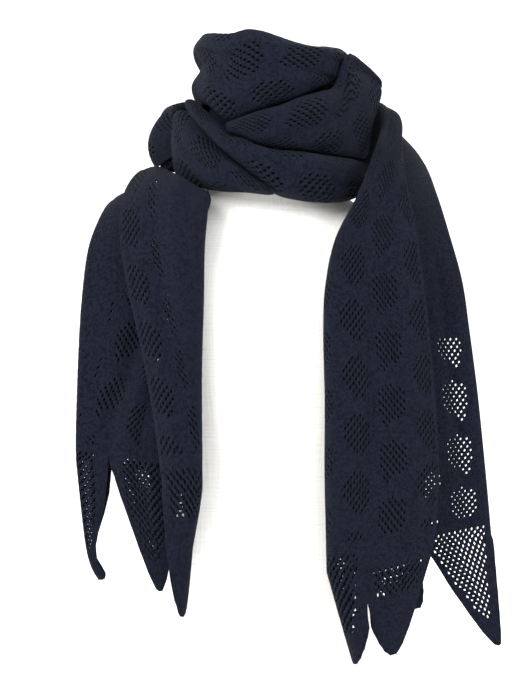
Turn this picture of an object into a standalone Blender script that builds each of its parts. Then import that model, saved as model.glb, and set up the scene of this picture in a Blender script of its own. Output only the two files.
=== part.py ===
"""A long lace-knit winter scarf, wound once round the neck of a limbless dress form.

The scarf's middle lies in folds across the front of the neck. Its two ends pass behind the neck, cross
at the nape and hang down in front as two folded tails, each with four long points.
Frame: origin at the centre of the form's flat base, +Z up, the front faces -Y. Tables are in millimetres.
"""
import math
from collections import namedtuple

import bmesh
import bpy
import numpy as np

# Driving sizes, in millimetres
MM = 0.001
CLOTH_THICKNESS = 2.4
POINTS_PER_END = 4
SEAM_GAP = 1.1
LOBE_GAP = CLOTH_THICKNESS + 0.5

# Mesh fineness
FORM_SIDES = 36
COLUMNS_PER_POINT = 6
TAIL_ROWS = 11
POINT_ROWS = 5
BACK_COLUMNS = 14
BACK_ROW_LENGTH = 24.0
LOBE_COLUMNS = 10
RING_COLUMNS = 15
LOBE_ROW_ANGLE = 9.0

FormSection = namedtuple("FormSection", "height half_width half_depth")
Lobe = namedtuple("Lobe", "angle reach top bottom tuck lean")
Collar = namedtuple("Collar", "angle reach top bottom crease_height crease_depth")
Station = namedtuple("Station", "free fold outer turned gap turn_gap bow out")

# The dress form, from its flat base up to the top of its neck
FORM_SECTIONS = [
    FormSection(0, 124, 90),
    FormSection(60, 124, 90),
    FormSection(120, 120, 87),
    FormSection(200, 117, 84),
    FormSection(270, 121, 87),
    FormSection(340, 135, 97),
    FormSection(410, 150, 104),
    FormSection(455, 157, 97),
    FormSection(480, 153, 86),
    FormSection(500, 139, 77),
    FormSection(515, 114, 69),
    FormSection(530, 86.2, 61.8),
    FormSection(548, 66, 58),
    FormSection(570, 59, 57),
    FormSection(612, 57, 57),
    FormSection(655, 57, 57),
]

# The collar, a ring of cloth turned over at the top, with a crease at the left front
COLLAR_ROWS = [
    Collar(-180, 85, 672, 598, 640, 0),
    Collar(-135, 82, 687, 600, 652, 2),
    Collar(-100, 79, 696, 622, 666, 7),
    Collar(-75, 81, 701, 628, 669, 11),
    Collar(-50, 90, 698, 622, 666, 11),
    Collar(-27, 98, 693.5, 604, 658, 7),
    Collar(-10, 99, 695, 613, 652, 2),
    Collar(15, 98, 687, 625, 652, 0),
    Collar(35, 95, 683, 637, 656, 0),
    Collar(50, 90, 683, 641, 658, 0),
    Collar(68, 92, 684, 620, 650, 0),
    Collar(86, 90, 681, 606, 645, 0),
    Collar(102, 80, 670, 600, 636, 0),
    Collar(140, 83, 660, 598, 630, 0),
    Collar(180, 85, 672, 598, 640, 0),
]
COLLAR_INNER_REACH = 59.5
COLLAR_INNER_DROP = 62.0
COLLAR_TUCK = 22.0

# The folds below the collar: their tops and bottoms follow the creases between them
MIDDLE_ROWS = [
    Lobe(-26, 97, 604, 592, 11, 0),
    Lobe(-16, 100, 609, 586, 20, 0),
    Lobe(-6, 104, 614, 579, 24, 0),
    Lobe(8, 106, 620, 575, 26, 0),
    Lobe(22, 107, 629, 574, 26, 0),
    Lobe(36, 107, 636, 572, 22, 0),
    Lobe(46, 106, 643, 571, 13, 0),
    Lobe(54, 105, 674, 570, 8, 0),
    Lobe(62, 105, 679, 570, 8, 0),
    Lobe(70, 105, 675, 570, 8, 5),
    Lobe(79, 105, 668, 571, 9, 13),
    Lobe(89, 105, 655, 574, 8, 21),
    Lobe(97, 100, 646, 580, 6, 15),
]
THIRD_ROWS = [
    Lobe(-64, 95, 632, 621, 7, 0),
    Lobe(-50, 101, 621, 605, 13, 0),
    Lobe(-36, 104, 604, 583, 20, 0),
    Lobe(-25, 108, 590, 568, 26, 0),
    Lobe(-16, 110, 586, 557, 28, 0),
    Lobe(-6, 112, 578, 544, 30, 0),
    Lobe(6, 112, 574, 530, 30, 0),
    Lobe(22, 112, 573, 525, 30, 0),
    Lobe(40, 112, 571, 524, 30, 0),
    Lobe(55, 112, 570, 527.5, 28, 0),
    Lobe(70, 109, 570, 537, 22, 0),
    Lobe(84, 105, 572, 548, 14, 0),
    Lobe(96, 100, 577, 560, 6, 0),
]
FOURTH_ROWS = [
    Lobe(-85, 99, 622, 566, 5, 0),
    Lobe(-74, 104, 622, 551, 14, 0),
    Lobe(-62, 106, 613, 543, 22, 0),
    Lobe(-48, 107, 597, 537, 26, 0),
    Lobe(-36, 108, 580, 534, 28, 0),
    Lobe(-25, 109, 567, 533, 28, 0),
    Lobe(-16, 109, 556, 532.5, 29, 0),
    Lobe(-6, 108, 541.5, 531, 28, 0),
    Lobe(-1, 105, 536.5, 529.5, 24, 0),
]


def around(angle, reach, height):
    """A point at a compass angle round the neck: 0 is the front, -90 the left, 90 the right."""
    turn = math.radians(angle)
    return (reach * math.sin(turn), -reach * math.cos(turn), height)


# The left tail, from its hem up over the shoulder, and on behind the neck to the right side
LEFT_STATIONS = [
    Station((-104, -115, 236), (-67, -116, 236), (-194, -76, 262), (-84, -72, 258), 24, 12, 2, (0, -1, 0)),
    Station((-112, -115, 300), (-67, -117, 300), (-194, -78, 300), (-88, -73, 300), 24, 12, 2, (0, -1, 0)),
    Station((-124, -114, 365), (-67, -119, 365), (-191, -80, 365), (-114, -74, 365), 24, 12, 2, (0, -1, 0)),
    Station((-138, -110, 425), (-66, -120, 425), (-188, -78, 425), (-119, -79, 425), 24, 12, 2, (0, -1, 0)),
    Station((-147, -102, 475), (-65, -119, 475), (-183, -68, 473), (-131, -67, 475), 22, 12, 3, (0, -1, 0.1)),
    Station((-148, -92, 512), (-62, -108, 512), (-174, -46, 503), (-146, -40, 496), 18, 9, 6, (0, -0.8, 0.5)),
    Station((-143, -58, 539), (-60, -85, 529), (-165, -18, 523), (-148, -18, 512), 11, 8, 11, (0, -0.4, 0.9)),
    Station((-131, -20, 558), (-80, -34, 534), (-156, 8, 526), (-143, 8, 515), 8, 7, 9, (0, 0, 1)),
    Station((-119, 28, 557), (-84, 18, 545), (-146, 40, 512), (-135, 38, 504), 8, 7, 5, (-0.4, 0.3, 0.85)),
    Station(around(-126, 120, 549), around(-124, 91, 585), around(-122, 137, 500),
            around(-122, 130, 497), 8, 6, 2, (-0.8, 0.5, 0.3)),
    Station(around(-150, 109, 574), around(-150, 94, 616), around(-150, 112, 518),
            around(-150, 105, 522), 8, 6, 2, (-0.5, 0.85, 0.1)),
    Station(around(-180, 106.5, 592), around(-180, 94.5, 630), around(-180, 104.5, 534),
            around(-180, 97, 540), 8, 6, 2, (0, 1, 0)),
    Station(around(-210, 105.5, 596), around(-210, 93.5, 634), around(-210, 101.5, 548),
            around(-210, 94, 552), 8, 6, 2, (0.5, 0.86, 0)),
    Station(around(-238, 102, 598), around(-238, 91, 632), around(-238, 98, 558),
            around(-238, 91, 562), 8, 6, 2, (0.85, 0.5, 0)),
    Station(around(-256, 98, 598), around(-256, 88, 626), around(-256, 94, 564),
            around(-256, 87, 568), 7, 6, 1, (1, 0.2, 0)),
]
LEFT_SPLIT = 7.6
LEFT_TIPS = [(-83, -122, 108), (-109, -98, 131), (-180, -84, 142), (-112, -72, 136)]
LEFT_NOTCHES = [6, 6, 6, 6, 6]
LEFT_FULLNESS = [1.5, 1.0, 1.0, 1.0]

# The right tail, from its hem up beside the wrap, and on behind the neck to the loop at the left
RIGHT_STATIONS = [
    Station((166, -98, 174), (59.5, -118, 152), (228.5, -54, 184), None, 26, 0, 2, (0, -1, 0)),
    Station((170, -98, 250), (57.5, -119, 240), (222, -58, 252), None, 26, 0, 3, (0, -1, 0)),
    Station((166, -100, 325), (57.5, -120, 320), (214, -62, 328), None, 26, 0, 4, (0, -1, 0)),
    Station((160, -103, 392), (55.5, -121, 392), (205, -62, 395), None, 26, 0, 5, (0, -1, 0)),
    Station((154, -104, 440), (58, -121, 438), (198, -58, 444), None, 25, 0, 6, (0, -1, 0)),
    Station((147, -102, 492), (69, -120, 484), (186, -44, 494), None, 22, 0, 6, (0.1, -1, 0.1)),
    Station((138, -88, 540), (92, -112, 528), (177, -24, 532), None, 17, 0, 5, (0.3, -0.9, 0.2)),
    Station((134, -65, 578), (108, -84, 570), (170, -4, 557), None, 12, 0, 9, (0.6, -0.7, 0.4)),
    Station((135, -23, 604), (119, -28, 606), (164, 10, 566), None, 11, 0, 8, (0.8, -0.3, 0.5)),
    Station((129, 19, 617), (118, 15, 632), (154, 38, 560), None, 11, 0, 5, (0.9, 0.2, 0.4)),
    Station(around(122, 132, 609), around(122, 114, 643), around(120, 142, 548),
            None, 10, 0, 3, (0.8, 0.5, 0.2)),
    Station(around(150, 128, 596), around(150, 112, 645), around(150, 124, 550), None, 10, 0, 2, (0.5, 0.86, 0)),
    Station(around(180, 127, 586), around(180, 112, 648), around(180, 118, 556), None, 10, 0, 3, (0, 1, 0)),
    Station(around(210, 127, 580), around(210, 112, 648), around(210, 117, 562), None, 10, 0, 4, (-0.5, 0.86, 0)),
    Station(around(238, 128, 576), around(238, 114, 638), around(238, 117, 565), None, 10, 0, 5, (-0.85, 0.5, 0)),
    Station(around(257, 122, 569), around(257, 110, 626), around(257, 112, 563), None, 10, 0, 11, (-1, 0.1, 0)),
    Station(around(266, 108, 572), around(266, 97, 618), around(266, 98, 568), None, 7, 0, 5, (-1, -0.3, 0)),
    Station(around(275, 92, 580), around(275, 83, 611), around(275, 85, 572), None, 5, 0, 1, (-0.95, -0.5, 0)),
    Station(around(290, 88, 582), around(290, 80, 604), around(290, 82, 574), None, 6, 0, 1, (-0.9, -0.6, 0)),
]
RIGHT_SPLIT = 8.5
RIGHT_TIPS = [(123, -112, 70), (86, -122, 62), (150, -84, 112), (231, -66, 72)]
RIGHT_NOTCHES = [6, 34, 6, 6, 6]
RIGHT_FULLNESS = [1.35, 1.35, 1.35, 1.1]


def clear_scene():
    for thing in list(bpy.data.objects):
        bpy.data.objects.remove(thing, do_unlink=True)


def plain_material(name, colour, roughness):
    material = bpy.data.materials.new(name)
    material.use_nodes = True
    shader = material.node_tree.nodes["Principled BSDF"]
    shader.inputs["Base Color"].default_value = (*colour, 1.0)
    shader.inputs["Roughness"].default_value = roughness
    shader.inputs["Metallic"].default_value = 0.0
    return material


def smooth_through(points, places):
    """Read a smooth curve through points (rows of an array) at fractional row numbers."""
    points = np.asarray(points, float)
    last = len(points) - 1
    read = []
    for place in places:
        row = min(int(place), last - 1)
        step = place - row
        before = points[max(row - 1, 0)]
        start = points[row]
        end = points[row + 1]
        after = points[min(row + 2, last)]
        slope_in = (end - before) / (2 if row > 0 else 1)
        slope_out = (after - start) / (2 if row + 2 <= last else 1)
        cube = step ** 3
        square = step ** 2
        read.append((2 * cube - 3 * square + 1) * start + (cube - 2 * square + step) * slope_in
                    + (3 * square - 2 * cube) * end + (cube - square) * slope_out)
    return np.array(read)


def evenly(points, count):
    """Place count points at even distances along a line of points."""
    points = np.asarray(points, float)
    lengths = np.linalg.norm(np.diff(points, axis=0), axis=1)
    travelled = np.concatenate([[0.0], np.cumsum(lengths)])
    wanted = np.linspace(0.0, travelled[-1], count)
    return np.column_stack([np.interp(wanted, travelled, points[:, axis]) for axis in range(3)])


def unit(vector):
    return vector / np.linalg.norm(vector)


def half_turn(tip, inward, out, gap):
    """A rounded fold: half a circle of cloth whose furthest point is tip."""
    centre = tip + inward * gap / 2
    arc = []
    for angle in (90, 50, 17, -17, -50, -90):
        turn = math.radians(angle)
        arc.append(centre + out * gap / 2 * math.sin(turn) - inward * gap / 2 * math.cos(turn))
    return arc


def bowed(start, end, out, bow):
    """The points between start and end, bowed out by a soft arc."""
    return [start + (end - start) * share + out * bow * 4 * share * (1 - share)
            for share in (0.25, 0.5, 0.75)]


def folded_section(free, fold, outer, turned, gap, turn_gap, bow, out):
    """Across the folded cloth: the front layer, the fold, the back layer and any part turned behind."""
    across = unit(outer - fold)
    out = unit(out - across * np.dot(out, across))
    turn = half_turn(fold, across, out, gap)
    back_end = outer if turned is None else outer + out * turn_gap / 2
    line = [free, *bowed(free, turn[0], out, bow), *turn, *bowed(turn[-1], back_end, out, bow)]
    if turned is None:
        line.append(outer)
    else:
        line.extend(half_turn(outer, -across, out, turn_gap))
        line.append(turned)
    return line


def read_stations(stations, places):
    """Smooth the table of stations and return one folded section for each place."""
    has_turned = stations[0].turned is not None
    table = []
    for station in stations:
        turned = station.turned if has_turned else station.outer
        table.append([*station.free, *station.fold, *station.outer, *turned,
                      station.gap, station.turn_gap, station.bow, *station.out])
    sections = []
    for row in smooth_through(table, places):
        turned = row[9:12] if has_turned else None
        sections.append(folded_section(row[0:3], row[3:6], row[6:9], turned, *row[12:15], row[15:18]))
    return sections


def even_places(stations, start, end, spacing=None, rows=None):
    """Fractional station numbers at even distances along the fold between start and end."""
    fine = np.linspace(start, end, 160)
    folds = smooth_through([station.fold for station in stations], fine)
    outers = smooth_through([station.outer for station in stations], fine)
    middle = (folds + outers) / 2
    travelled = np.concatenate([[0.0], np.cumsum(np.linalg.norm(np.diff(middle, axis=0), axis=1))])
    if rows is None:
        rows = max(2, round(travelled[-1] / spacing))
    wanted = np.linspace(0.0, travelled[-1], rows + 1)
    return np.interp(wanted, travelled, fine)


def seam_row(stations, split, columns, distance):
    """The row of points at a split, moved a distance in millimetres along the cloth's length."""
    here, ahead = read_stations(stations, [split, split + 0.05])
    here = evenly(here, columns)
    travel = evenly(ahead, columns) - here
    return here + travel / np.linalg.norm(travel, axis=1)[:, None] * distance


def draped_object(name, rows, material, collection, closed=False):
    """Drape a grid over rows of points and give it the cloth's thickness."""
    rows = np.asarray(rows) * MM
    along, across = rows.shape[0] - 1, rows.shape[1] - 1
    bm = bmesh.new()
    bmesh.ops.create_grid(bm, x_segments=across, y_segments=along, size=1.0)
    for vertex in bm.verts:
        column = round((vertex.co.x + 1) / 2 * across)
        row = round((vertex.co.y + 1) / 2 * along)
        vertex.co = rows[row, column]
    if closed:
        bmesh.ops.remove_doubles(bm, verts=bm.verts[:], dist=0.00001)
    bmesh.ops.recalc_face_normals(bm, faces=bm.faces[:])
    bmesh.ops.triangulate(bm, faces=bm.faces[:])
    mesh = bpy.data.meshes.new(name)
    bm.to_mesh(mesh)
    bm.free()
    mesh.shade_smooth()
    mesh.materials.append(material)
    thing = bpy.data.objects.new(name, mesh)
    collection.objects.link(thing)
    wall = thing.modifiers.new("cloth wall", "SOLIDIFY")
    wall.thickness = CLOTH_THICKNESS * MM
    wall.offset = 0.0
    return thing


def hem_depth(column, depth, notches, fullness):
    """How far a column of the border hangs below the notches, for a point of the given depth."""
    from_tip = abs((column % COLUMNS_PER_POINT) / COLUMNS_PER_POINT * 2 - 1)
    notch = notches[int(column / COLUMNS_PER_POINT + 0.5)]
    return notch + (depth - notch) * (1 - from_tip ** fullness)


def pointed_border(base, tips, notches, fullness):
    """Rows of points from the deepest row of the hem up to the notches, four points wide."""
    rows = []
    for step in range(POINT_ROWS, 0, -1):
        row = []
        for column, start in enumerate(base):
            here = min(column // COLUMNS_PER_POINT, POINTS_PER_END - 1)
            root = base[here * COLUMNS_PER_POINT + COLUMNS_PER_POINT // 2]
            hang = np.array(tips[here], float) - root
            share = hem_depth(column, np.linalg.norm(hang), notches, fullness[here]) / np.linalg.norm(hang)
            if column % COLUMNS_PER_POINT == 0 and 0 < column < len(base) - 1:
                before = np.array(tips[column // COLUMNS_PER_POINT - 1], float)
                hang = (hang + before - base[column - COLUMNS_PER_POINT // 2]) / 2
            row.append(start + hang * share * step / POINT_ROWS)
        rows.append(row)
    return rows


def make_tail(name, stations, split, tips, notches, fullness, material, collection):
    columns = POINTS_PER_END * COLUMNS_PER_POINT + 1
    sections = read_stations(stations, even_places(stations, 0.0, split, rows=TAIL_ROWS))
    rows = [evenly(section, columns) for section in sections]
    rows[-1] = seam_row(stations, split, columns, -SEAM_GAP / 2)
    return draped_object(name, pointed_border(rows[0], tips, notches, fullness) + rows, material, collection)


def make_back_band(name, stations, split, material, collection):
    places = even_places(stations, split, len(stations) - 1.0, spacing=BACK_ROW_LENGTH)
    rows = [evenly(section, BACK_COLUMNS + 1) for section in read_stations(stations, places)]
    rows[0] = seam_row(stations, split, BACK_COLUMNS + 1, SEAM_GAP / 2)
    return draped_object(name, rows, material, collection)


def read_rows(rows, spacing):
    """Smooth a table whose first column is an angle, with a row about every spacing degrees."""
    table = np.array(rows, float)
    angles = table[:, 0]
    count = max(2, round((angles[-1] - angles[0]) / spacing))
    places = np.interp(np.linspace(angles[0], angles[-1], count + 1), angles, range(len(angles)))
    return smooth_through(table, places)


def make_lobe(name, rows, material, collection):
    """One rounded fold of the wrap: bowed out in the middle, with both edges tucked in."""
    sections = []
    for angle, reach, top, bottom, tuck, lean in read_rows(rows, LOBE_ROW_ANGLE):
        top -= LOBE_GAP / 2
        bottom += LOBE_GAP / 2
        middle = (top + bottom) / 2
        half = (top - bottom) / 2
        line = []
        for turn in np.radians(np.linspace(-90, 90, 25)):
            rise = math.copysign(abs(math.sin(turn)) ** 0.8, turn)
            bow = abs(math.cos(turn)) ** 0.5
            outward = reach - tuck * (1 - bow) + lean * ((rise + 1) / 2) ** 2
            line.append(around(angle, outward, middle + half * rise))
        sections.append(evenly(line, LOBE_COLUMNS + 1))
    return draped_object(name, sections, material, collection)


def make_collar(name, rows, material, collection):
    """The top of the wrap: a ring that rises from its tucked edge, turns over and drops by the neck."""
    sections = []
    for angle, reach, top, bottom, crease_height, crease_depth in read_rows(rows, LOBE_ROW_ANGLE):
        bottom += LOBE_GAP / 2
        height = top - bottom
        profile = [
            (max(reach - COLLAR_TUCK, COLLAR_INNER_REACH + 9), bottom),
            (reach - 8, bottom + 0.05 * height),
            (reach, bottom + 0.26 * height),
            (reach - crease_depth, crease_height),
            (reach - 1, bottom + 0.78 * height),
            (reach - 8, top - 3),
            (reach - 15, top),
            (COLLAR_INNER_REACH + 6, top - 7),
            (COLLAR_INNER_REACH + 1, top - 24),
            (COLLAR_INNER_REACH, top - COLLAR_INNER_DROP),
        ]
        profile = smooth_through(profile, np.linspace(0, len(profile) - 1, 60))
        line = [around(angle, distance, level) for distance, level in profile]
        sections.append(evenly(line, RING_COLUMNS + 1))
    return draped_object(name, sections, material, collection, closed=True)


def make_form(name, rows, material, collection):
    """The limbless form: one closed loft of superellipse sections with a flat base."""
    levels = 22
    table = np.array(rows, float)
    heights = table[:, 0]
    wanted = np.interp(np.linspace(0, len(heights) - 1, levels + 1), range(len(heights)), heights)
    places = np.interp(wanted, heights, range(len(heights)))
    sections = smooth_through(table, places)
    bm = bmesh.new()
    bmesh.ops.create_cone(bm, cap_ends=True, segments=FORM_SIDES, radius1=1.0, radius2=1.0, depth=2.0)
    sides = [edge for edge in bm.edges if abs(edge.verts[0].co.z - edge.verts[1].co.z) > 1]
    bmesh.ops.subdivide_edges(bm, edges=sides, cuts=levels - 1, use_grid_fill=True)
    for vertex in bm.verts:
        section = sections[round((vertex.co.z + 1) / 2 * levels)]
        vertex.co.x *= section[1] * MM
        vertex.co.y *= section[2] * MM
        vertex.co.z = section[0] * MM
    bmesh.ops.recalc_face_normals(bm, faces=bm.faces[:])
    mesh = bpy.data.meshes.new(name)
    bm.to_mesh(mesh)
    bm.free()
    mesh.shade_smooth()
    mesh.set_sharp_from_angle(angle=math.radians(50))
    mesh.materials.append(material)
    thing = bpy.data.objects.new(name, mesh)
    collection.objects.link(thing)
    return thing


def build():
    clear_scene()
    collection = bpy.data.collections.new("winter_scarf_on_dress_form")
    bpy.context.scene.collection.children.link(collection)
    linen = plain_material("ivory linen", (0.83, 0.80, 0.74), 0.85)
    wool = plain_material("dark navy wool knit", (0.016, 0.018, 0.027), 0.9)
    make_form("dress_form", FORM_SECTIONS, linen, collection)
    make_collar("wrap_top", COLLAR_ROWS, wool, collection)
    make_lobe("wrap_middle", MIDDLE_ROWS, wool, collection)
    make_lobe("wrap_third", THIRD_ROWS, wool, collection)
    make_lobe("wrap_fourth", FOURTH_ROWS, wool, collection)
    make_back_band("back_under", LEFT_STATIONS, LEFT_SPLIT, wool, collection)
    make_back_band("back_over", RIGHT_STATIONS, RIGHT_SPLIT, wool, collection)
    make_tail("tail_left", LEFT_STATIONS, LEFT_SPLIT, LEFT_TIPS, LEFT_NOTCHES, LEFT_FULLNESS, wool, collection)
    make_tail("tail_right", RIGHT_STATIONS, RIGHT_SPLIT, RIGHT_TIPS, RIGHT_NOTCHES, RIGHT_FULLNESS, wool, collection)


build()
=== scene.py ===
# %% [markdown]
# # A lace-knit winter scarf on a dress form
#
# The real thing is one long strip of fine wool, knitted with small holes in leaf-shaped groups, and with
# four long points at each end. It is wound once round the neck of a linen-covered form without limbs.
# This lesson dresses a plain model of it, its frame, with the cloth that shows: real stitches on a grid,
# holes that go right through, and a wool and a linen made from shader nodes.

# %% Load the frame
import math
from collections import namedtuple

import bmesh
import bpy
import numpy as np
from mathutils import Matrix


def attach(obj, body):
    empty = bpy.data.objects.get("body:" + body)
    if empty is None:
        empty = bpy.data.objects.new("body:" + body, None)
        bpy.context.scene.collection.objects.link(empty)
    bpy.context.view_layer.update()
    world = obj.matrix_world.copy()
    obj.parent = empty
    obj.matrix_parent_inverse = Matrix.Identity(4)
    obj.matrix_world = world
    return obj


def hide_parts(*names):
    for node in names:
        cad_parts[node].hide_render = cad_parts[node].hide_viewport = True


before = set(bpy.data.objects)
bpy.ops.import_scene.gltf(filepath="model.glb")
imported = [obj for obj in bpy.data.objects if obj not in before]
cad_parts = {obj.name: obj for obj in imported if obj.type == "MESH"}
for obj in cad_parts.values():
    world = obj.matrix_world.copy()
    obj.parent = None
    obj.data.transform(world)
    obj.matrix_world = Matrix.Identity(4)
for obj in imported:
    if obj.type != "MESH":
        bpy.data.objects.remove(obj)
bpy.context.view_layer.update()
MM = 0.001
scene = bpy.context.scene
print("frame nodes:", sorted(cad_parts))

# %% [markdown]
# ## Camera first
#
# The photo was taken from straight in front, with the lens level with the middle of the scarf. A long lens
# from 2.2 metres gives the same mild perspective. Fitting the sensor to the picture's height makes one
# pixel 1.05 mm in the plane of the neck.

# %% The camera
CAMERA_DISTANCE = 2.2
CAMERA_HEIGHT = 0.373
CAMERA_SIDE = -0.006
FRAME_HEIGHT = 0.735

lens_data = bpy.data.cameras.new("long lens")
lens_data.sensor_fit = "VERTICAL"
lens_data.sensor_height = 36.0
lens_data.lens = 36.0 * CAMERA_DISTANCE / FRAME_HEIGHT
camera = bpy.data.objects.new("camera", lens_data)
camera.location = (CAMERA_SIDE, -CAMERA_DISTANCE, CAMERA_HEIGHT)
camera.rotation_euler = (math.radians(90), 0, 0)
scene.collection.objects.link(camera)
scene.camera = camera
print("lens in mm:", round(lens_data.lens, 1))

# %% Helpers for materials and objects
def new_material(name):
    """A material, its node tree and its shader."""
    material = bpy.data.materials.new(name)
    material.use_nodes = True
    return material, material.node_tree, material.node_tree.nodes["Principled BSDF"]


def set_inputs(node, values):
    """Give each input of a node its constant value, or link it to another node's output."""
    for label, value in values.items():
        if isinstance(value, bpy.types.NodeSocket):
            node.id_data.links.new(value, node.inputs[label])
        else:
            node.inputs[label].default_value = value


def object_from(bm, name, material):
    """Turn a finished bmesh into an object in the scene."""
    mesh = bpy.data.meshes.new(name)
    bm.to_mesh(mesh)
    bm.free()
    mesh.materials.append(material)
    thing = bpy.data.objects.new(name, mesh)
    scene.collection.objects.link(thing)
    return thing


# %% [markdown]
# ## Soft light and a pale floor
#
# The photo's background is blown out to white, and the light is broad and soft with a little more from the
# upper left. A white world gives the even part. Two large area lamps add the direction.

# %% Light and floor
WORLD_STRENGTH = 1.4
LAMPS = [
    # name, place, size in metres, power in watts, colour
    ("window", (-1.5, -1.9, 1.7), 1.4, 80, (1.0, 0.98, 0.95)),
    ("sky", (1.7, -1.5, 1.1), 1.4, 24, (0.90, 0.94, 1.0)),
    ("back", (0.4, 1.8, 1.5), 1.6, 16, (1.0, 1.0, 1.0)),
]

world = bpy.data.worlds.new("white studio")
world.use_nodes = True
background = world.node_tree.nodes["Background"]
set_inputs(background, {"Color": (1.0, 1.0, 1.0, 1.0), "Strength": WORLD_STRENGTH})
scene.world = world
scene.view_settings.view_transform = "Standard"


def aim(thing, target):
    """Turn a lamp so that it faces a point."""
    away = np.array(target) - np.array(thing.location)
    thing.rotation_euler = (
        math.atan2(math.hypot(away[0], away[1]), -away[2]),
        0,
        math.atan2(away[1], away[0]) - math.pi / 2,
    )


for name, place, size, power, colour in LAMPS:
    lamp_data = bpy.data.lights.new(name, "AREA")
    lamp_data.size = size
    lamp_data.energy = power
    lamp_data.color = colour
    lamp = bpy.data.objects.new(name, lamp_data)
    lamp.location = place
    aim(lamp, (0, 0, 0.4))
    scene.collection.objects.link(lamp)

paint, _, paint_shader = new_material("pale floor")
set_inputs(paint_shader, {"Base Color": (0.96, 0.96, 0.96, 1.0), "Roughness": 0.9})
bm = bmesh.new()
bmesh.ops.create_grid(bm, x_segments=1, y_segments=1, size=6.0)
floor = object_from(bm, "floor", paint)
print("lamps:", len(LAMPS))

# %% [markdown]
# ## Curves from short tables
#
# Every piece is laid out from a few listed sections. A cubic curve through the table's rows gives the
# rows between, and points are then spread evenly along each section, as stitches are along real knitting.


# %% Helpers for curves
def smooth_through(points, places):
    """Read a smooth curve through points (rows of an array) at fractional row numbers."""
    points = np.asarray(points, float)
    places = np.asarray(places, float)
    last = len(points) - 1
    row = np.clip(places.astype(int), 0, last - 1)
    step = (places - row)[:, None]
    before = points[np.maximum(row - 1, 0)]
    start = points[row]
    end = points[row + 1]
    after = points[np.minimum(row + 2, last)]
    slope_in = (end - before) / np.where(row > 0, 2, 1)[:, None]
    slope_out = (after - start) / np.where(row + 2 <= last, 2, 1)[:, None]
    cube = step ** 3
    square = step ** 2
    return ((2 * cube - 3 * square + 1) * start + (cube - 2 * square + step) * slope_in
            + (3 * square - 2 * cube) * end + (cube - square) * slope_out)


def evenly(points, count):
    """Place count points at even distances along a line of points."""
    points = np.asarray(points, float)
    lengths = np.linalg.norm(np.diff(points, axis=0), axis=1)
    travelled = np.concatenate([[0.0], np.cumsum(lengths)])
    wanted = np.linspace(0.0, travelled[-1], count)
    return np.column_stack([np.interp(wanted, travelled, points[:, axis]) for axis in range(3)])


def unit(vector):
    return vector / np.linalg.norm(vector)


def around(angle, reach, height):
    """A point at a compass angle round the neck: 0 is the front, -90 the left, 90 the right."""
    turn = math.radians(angle)
    return (reach * math.sin(turn), -reach * math.cos(turn), height)


# %% [markdown]
# ## The knitting itself
#
# One cell of a grid is one stitch, 3 mm wide and 2 mm tall. A hole in lace is a stitch left out, so the
# chart says which faces of the grid to delete, and the corners of each hole are pulled into a slanted
# lozenge, the way the yarn pulls them. Laying the chart over the grid before it is draped keeps the holes
# with the cloth wherever it folds. Cutting holes with booleans would be slow and would not follow the folds.

# %% The lace chart
STITCH_WIDTH = 3.0
ROW_HEIGHT = 2.0
STITCHES = 96
REPEAT_STITCHES = 24
REPEAT_ROWS = 28
LEAF_HALF_WIDTH = 4.6
LEAF_HALF_HEIGHT = 10.2
LEAF_STEM_TAPER = 0.45
LEAF_TAIL = 2.4
LEAF_SIDE_POWER = 2.2
LEAF_END_POWER = 2.6
OUTSIDE = 9.0


def leaf_place(row, column, turned=1):
    """For the leaf nearest to a stitch: the share of its radius, and its lean, 1 or -1."""
    nearest = (OUTSIDE, 0)
    quarter = REPEAT_STITCHES // 4
    for middle, drop, lean in ((quarter, 0, turned), (3 * quarter, REPEAT_ROWS / 2, -turned)):
        aside = (column - middle + REPEAT_STITCHES / 2) % REPEAT_STITCHES - REPEAT_STITCHES / 2
        along = (row - drop + REPEAT_ROWS / 2) % REPEAT_ROWS - REPEAT_ROWS / 2
        stem = max(0.0, -along / LEAF_HALF_HEIGHT)
        half_width = LEAF_HALF_WIDTH * (1 - LEAF_STEM_TAPER * stem)
        aside = (aside - lean * LEAF_TAIL * stem ** 2) / half_width
        share = abs(aside) ** LEAF_SIDE_POWER + abs(along / LEAF_HALF_HEIGHT) ** LEAF_END_POWER
        if share < nearest[0]:
            nearest = (share, lean)
    return nearest


def body_lean(row, column, turned=1):
    """0 in plain knitting; in a leaf, the side to which its holes lean."""
    share, lean = leaf_place(row, column, turned)
    return lean if share <= 1 else 0


print("stitches across the scarf:", STITCHES, "=", STITCHES * STITCH_WIDTH, "mm")

# %% [markdown]
# A hole's four corners don't move alike. Two opposite ones become the lozenge's points: they move in across
# the stitch and out along it. The other two become its blunt sides. The moves are shares of a stitch. The
# border is knitted more openly than the leaves, so its holes have longer points.

# %% The shape of a hole
HoleShape = namedtuple("HoleShape", "tip_in tip_out side_in side_drop")
LEAF_HOLE = HoleShape(0.27, 0.36, 0.14, 0.30)
BORDER_HOLE = HoleShape(0.28, 0.72, 0.10, 0.30)
BORDER_LEAN = 2


def on_hole_lattice(row, column):
    return row % 2 == 0 and (column + row // 2) % 2 == 0


def pull_hole(rows, row, column, lean):
    """Move the four corners of a hole so that it becomes a small steep lozenge, larger in the border."""
    shape = BORDER_HOLE if abs(lean) == BORDER_LEAN else LEAF_HOLE
    corners = rows[row:row + 2, column:column + 2].copy()
    wide = (corners[:, 1] - corners[:, 0]).mean(axis=0)
    tall = (corners[1] - corners[0]).mean(axis=0)
    for up in (0, 1):
        for right in (0, 1):
            is_tip = (up == right) == (lean > 0)
            inward = (0.5 - right) * 2 * wide * (shape.tip_in if is_tip else shape.side_in)
            rise = (up - 0.5) * 2 * tall * (shape.tip_out if is_tip else -shape.side_drop)
            rows[row + up, column + right] += inward + rise
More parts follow.
